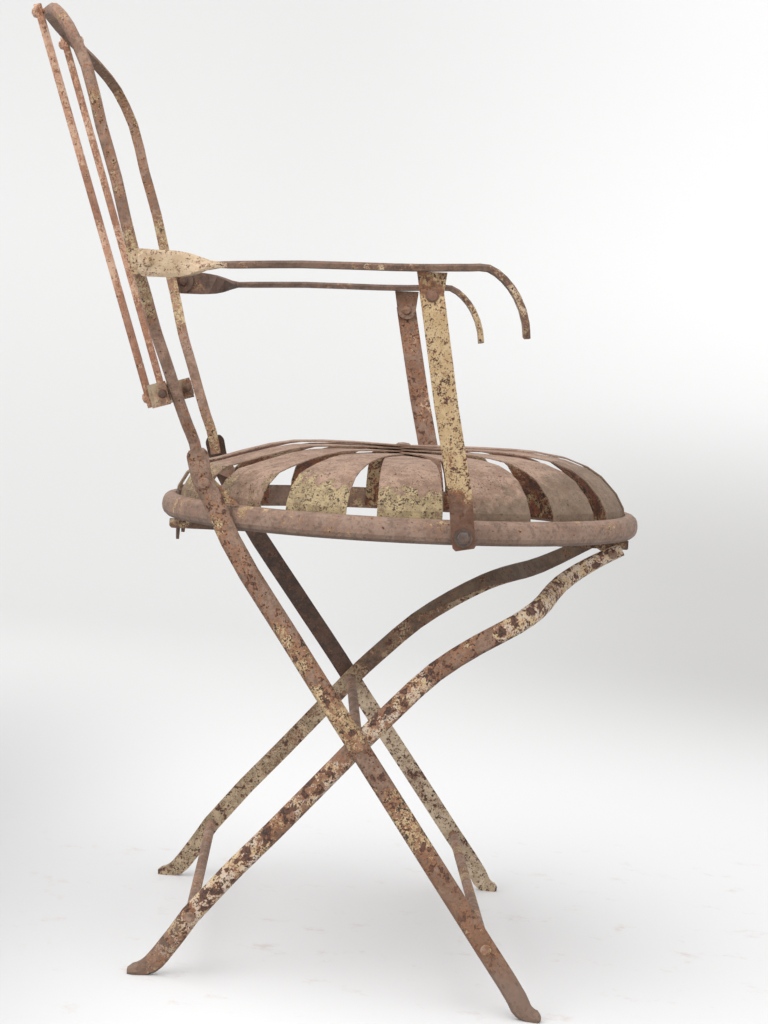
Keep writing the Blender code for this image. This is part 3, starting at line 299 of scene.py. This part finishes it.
UP, DOWN, FRONT, REAR = (0, 0, 1), (0, 0, -1), (1, 0, 0), (-1, 0, 0)
STILE_REAR = (-0.827, 0, -0.562)
SHIN_RUST = (0.20, 0.095, 0.05)
TOE_DUST = (0.19, 0.13, 0.10)
dress(aged_iron("stile_right_finish", 1.0, cover=0.50, chips=0.012, pits=0.36, flakes=0.10,
                places=[(STILE_REAR, -0.156, -0.151, 0.06),     # more paint on the rear edge
                        (UP, 0.245, 0.262, -0.07),              # less above the crossing
                        (UP, 0.35, 0.37, -0.03),                # less still under the seat
                        (DOWN, -0.215, -0.200, -0.13),          # bare just below the crossing
                        (DOWN, -0.186, -0.172, 0.12),           # painted again on the shin
                        (DOWN, -0.125, -0.11, -0.03),
                        (DOWN, -0.05, -0.03, -0.18)],           # bare toe
                tints=[(DOWN, -0.13, -0.10, SHIN_RUST, 0.35),
                       (DOWN, -0.05, -0.03, TOE_DUST, 0.7)]),
      "stile_right")
dress(aged_iron("stile_left_finish", 12.0, cover=0.90, chips=0.014, pits=0.20, flakes=0.05,
                iron=(0.055, 0.034, 0.025), pale=(0.095, 0.055, 0.038), paint=(0.53, 0.42, 0.30),
                aged=(0.40, 0.30, 0.20), rust=(0.22, 0.10, 0.055),
                places=[(UP, 0.20, 0.235, -0.22),               # bare and dark above the crossing
                        (STILE_REAR, -0.156, -0.151, -0.10)]),  # worn on the rear edge
      "stile_left")

# Stretchers and cross axle
# Plain round rods, shouldered at their ends and riveted through the bars. They are rusted brown
# with a dusty bloom.
dress(aged_iron("rod_finish", 22.0, cover=0.16, pale=(0.31, 0.205, 0.15), pits=0.15),
      "front_stretcher", "rear_stretcher", "cross_axle", "top_cross_pin")

# Back hoop
# One half-round bar bent to an arch and forge-welded to the stile tops. It is mauve brown, with
# specks of cream along the uprights.
dress(aged_iron("hoop_finish", 31.0, cover=0.46, chips=0.005, pits=0.25, pit_size=0.0013,
                flakes=0.004, iron=(0.20, 0.125, 0.088), pale=(0.31, 0.20, 0.145),
                paint=(0.50, 0.385, 0.225), aged=(0.38, 0.265, 0.145),
                places=[(UP, 0.68, 0.75, -0.04),        # less paint round the top
                        (DOWN, -0.55, -0.50, -0.05)]),  # and down at the seat
      "back_hoop")

# Lower back rail
# A flat bar bent to a wide U behind the hoop and riveted to a lug at each end. Its inner face
# keeps dull cream paint, and its ends are pinkish rust.
PINK_RUST = (0.42, 0.25, 0.175)
DULL_CREAM = (0.40, 0.33, 0.21)
dress(aged_iron("rail_finish", 41.0, cover=0.6, chips=0.009, paint=PINK_RUST,
                aged=(0.36, 0.25, 0.16), pits=0.3,
                tints=[(REAR, 0.143, 0.155, DULL_CREAM, 0.6)]),     # across the back of the bow
      "lower_back_rail")
dress(aged_iron("rail_lug_finish", 43.0, cover=0.3, pits=0.3), "rail_lug_left", "rail_lug_right")
dress(aged_iron("rail_rivet_finish", 44.0, cover=0.05, iron=(0.085, 0.05, 0.035), pale=TAUPE),
      "rail_rivet_left", "rail_rivet_right")

# Back slats
# Two thin half-round bars riveted behind the hoop and the rail. The rust on them is pale and
# orange pink, with shreds of cream.
dress(aged_iron("slat_finish", 51.0, cover=0.5, chips=0.005, iron=(0.27, 0.135, 0.09),
                pale=(0.37, 0.205, 0.14), paint=(0.55, 0.36, 0.25), aged=(0.46, 0.245, 0.155),
                pits=0.12, pit_size=0.0013, flakes=0.002, shade=0.3),
      "back_slat_left", "back_slat_right", "slat_rivet_top_left", "slat_rivet_top_right",
      "slat_rivet_low_left", "slat_rivet_low_right")

# Arm brackets
# Small plates on the outside of the hoop. The right one keeps its cream paint and the left one
# is bare and dark.
dress(aged_iron("bracket_right_finish", 61.0, cover=0.85, pits=0.2,
                paint=(0.50, 0.375, 0.245)),
      "arm_bracket_right", "arm_rivet_right")
dress(aged_iron("bracket_left_finish", 63.0, cover=0.06, iron=(0.075, 0.04, 0.028),
                pale=(0.13, 0.08, 0.055), pits=0.3),
      "arm_bracket_left", "arm_rivet_left")

# Rear legs
# Forged bars like the stiles, from the rear toes through the crossing, then bent in under the
# front of the seat. Large flakes show dark rust through pale paint.
LEG_TOP = (-0.45, 0, 0.89)
TOE_BROWN = (0.19, 0.125, 0.09)
dress(aged_iron("rear_leg_right_finish", 71.0, cover=0.78, chips=0.014, pits=0.26, flakes=0.25,
                paint=CHALK, aged=CREAM,
                places=[(FRONT, 0.096, 0.112, -0.10),       # worn where the leg bends in
                        (FRONT, 0.148, 0.162, 0.13),        # chalky under the front of the seat
                        (REAR, -0.045, -0.025, -0.03),      # a little less behind the crossing
                        (REAR, 0.112, 0.125, -0.2)],        # bare toe
                tints=[(REAR, 0.09, 0.125, TOE_BROWN, 0.6)]),
      "rear_leg_right")
dress(aged_iron("rear_leg_left_finish", 74.0, cover=0.80, chips=0.014, pits=0.22, flakes=0.06,
                iron=(0.10, 0.066, 0.045), pale=(0.15, 0.105, 0.07), paint=(0.44, 0.33, 0.215),
                aged=(0.29, 0.22, 0.135), rust=(0.28, 0.13, 0.065), shade=0.35,
                places=[(LEG_TOP, 0.2065, 0.2095, -0.15),   # bare on the upper face
                        (FRONT, 0.02, 0.05, -0.02)]),
      "rear_leg_left")

# Seat ring
# A heavy half-round bar bent flat side inwards and welded into a ring. It is mauve brown all
# over, with a few cream scabs.
# shade=0.6 lays strong painted shade on the ring's underside.
dress(aged_iron("ring_finish", 81.0, cover=0.035, chips=0.011, iron=(0.205, 0.130, 0.095),
                pale=(0.275, 0.185, 0.138), rust=(0.28, 0.145, 0.085), pits=0.05, flakes=0.004,
                shade=0.6),
      "seat_ring")

# Seat strips
# Eight strips of spring steel from rim to rim, narrow at the crown where they cross and broad
# at the ring. Above a tide line they are smooth mauve brown; below it the near ones keep cream
# paint, full of pits. Their undersides are mottled rust, cream and black.
RING_CENTRE = (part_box("seat_ring")[0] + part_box("seat_ring")[1]) / 2
DOME_MIDDLE_Z = 0.30        # the strips' outsides all face away from a point at this height
TIDE = 0.439
OLIVE = (0.085, 0.062, 0.035)
PETAL_FOOT = (0.42, 0, -0.91)
STRIP_COUNT = 8


def strip_finish():
    """Outside and underside of the strips in one material."""
    material, tree, surface, at, facing = new_finish("strip_finish")
    outward = feed(tree, "ShaderNodeVectorMath", {0: at, 1: (RING_CENTRE.x, 0, DOME_MIDDLE_Z)},
                   operation="SUBTRACT").outputs[0]
    outward = feed(tree, "ShaderNodeVectorMath", {0: outward, 1: facing},
                   operation="DOT_PRODUCT").outputs["Value"]
    inside = rise(tree, reckon(tree, "MULTIPLY", outward, -1.0), 0.0, 0.01)
    outer = weathering(tree, at, facing, 91.0, cover=0.0005, iron=(0.25, 0.152, 0.105),
                       pale=(0.35, 0.23, 0.165), paint=(0.44, 0.335, 0.175),
                       aged=(0.29, 0.215, 0.11), rust=(0.22, 0.125, 0.075), pits=0.24,
                       pit_size=0.0016, chips=0.011, flakes=0.002, shade=0.0,
                       places=[(DOWN, -TIDE - 0.005, -TIDE + 0.011, 0.25),
                               (FRONT, 0.100, 0.106, -0.20),    # none in front of the post
                               (REAR, 0.045, 0.06, -0.08),      # less to the rear
                               (FRONT, 0.035, 0.045, -0.03)],
                       tints=[(DOWN, -TIDE - 0.004, -TIDE + 0.02, OLIVE, 0.22),
                              (PETAL_FOOT, -0.343, -0.325, OLIVE, 0.5)])
    inner = weathering(tree, at, facing, 97.0, cover=0.5, iron=(0.06, 0.028, 0.018),
                       pale=(0.20, 0.065, 0.03), paint=(0.42, 0.31, 0.16), rust=(0.30, 0.09, 0.03),
                       pits=0.34, pit_size=0.0024, flakes=0.15, shade=0.0)
    colour = blend(tree, inside, outer[0], inner[0])
    height = feed(tree, "ShaderNodeMix", {0: inside, 2: outer[1], 3: inner[1]}).outputs[0]
    finish_with(tree, surface, colour, height, outer[2])
    return material


dress(strip_finish(), *["seat_strip_%d" % n for n in range(1, STRIP_COUNT + 1)])
dress(aged_iron("centre_rivet_finish", 99.0, cover=0.02, iron=(0.235, 0.155, 0.12)),
      "centre_rivet")

# Bearers and catches
# Two square bars under the ring that the top cross pin slides along, and two small plates
# inside the rear of the ring. All are bare and nearly black.
dress(aged_iron("under_seat_finish", 103.0, cover=0.12, iron=(0.075, 0.045, 0.032),
                pale=(0.14, 0.09, 0.065), rust=(0.21, 0.10, 0.05)),
      "bearer_left", "bearer_right", "rear_catch_left", "rear_catch_right")

# Pivot ears, seat rivets and post rivets
# The ears are plates that stand on the ring beside the stiles. They turn on stout rivets, as
# the posts do on the arms' lugs. All are rusted brown.
dress(aged_iron("ear_finish", 108.0, cover=0.25), "pivot_ear_left", "pivot_ear_right")
dress(aged_iron("seat_rivet_finish", 109.0, cover=0.05, iron=(0.19, 0.10, 0.065)),
      "seat_rivet_left", "seat_rivet_right", "post_rivet_left", "post_rivet_right")

# Arms
# A cream tab upright on the bracket, a quarter twist, then a flat bar laid level that is worn
# to dark brown metal where hands rest, and scrolls down at the front.
dress(aged_iron("arm_right_finish", 111.0, cover=0.12, chips=0.007, iron=(0.085, 0.048, 0.032),
                pale=(0.145, 0.088, 0.060), paint=(0.50, 0.375, 0.25), aged=(0.43, 0.31, 0.19),
                rust=(0.27, 0.13, 0.07), pits=0.13, pit_size=0.0013,
                places=[(REAR, 0.093, 0.106, 0.17),     # the tab keeps its paint
                        (FRONT, 0.11, 0.14, 0.06)]),    # and some is left on the scroll
      "arm_right")
dress(aged_iron("arm_left_finish", 114.0, cover=0.06, chips=0.007, iron=(0.085, 0.05, 0.036),
                pale=(0.14, 0.09, 0.068), rust=(0.23, 0.11, 0.06), pits=0.10,
                places=[(FRONT, 0.11, 0.14, 0.07)]),
      "arm_left")
dress(aged_iron("arm_lug_finish", 117.0, cover=0.3, iron=(0.17, 0.09, 0.055)),
      "arm_lug_left", "arm_lug_right")

# Arm posts
# Flat bars from the arm lugs to the seat ring. The right one is cream and thick with pits down
# to its lower end, which is bare dark brown; the left one is mostly rust.
POST_FOOT = (0.10, 0.042, 0.022)
dress(aged_iron("post_right_finish", 121.0, cover=0.93, chips=0.012, pits=0.26, pit_size=0.0013,
                paint=(0.54, 0.395, 0.22), aged=(0.46, 0.315, 0.16), iron=(0.15, 0.075, 0.045),
                flakes=0.02,
                places=[(DOWN, -0.450, -0.425, -0.16),      # bare low end
                        (UP, 0.588, 0.598, -0.12)],         # worn at the arm's lug
                tints=[(DOWN, -0.440, -0.422, POST_FOOT, 0.7)]),
      "arm_post_right")
dress(aged_iron("post_left_finish", 125.0, cover=0.55, chips=0.009, pits=0.25, flakes=0.10,
                flake_size=0.006, paint=(0.50, 0.35, 0.235), aged=(0.38, 0.21, 0.125),
                iron=(0.19, 0.105, 0.07), places=[(DOWN, -0.53, -0.50, -0.03)]),
      "arm_post_left")

# Post bolts
# A later bolt, washer and nut fix each post to the ring. They are plain dark steel.
dress(aged_iron("bolt_finish", 131.0, cover=0.02, iron=(0.085, 0.062, 0.052),
                pale=(0.15, 0.115, 0.095), rust=(0.18, 0.09, 0.05)),
      "post_bolt_left", "post_bolt_right", "post_nut_left", "post_nut_right",
      "bolt_washer_left", "bolt_washer_right")
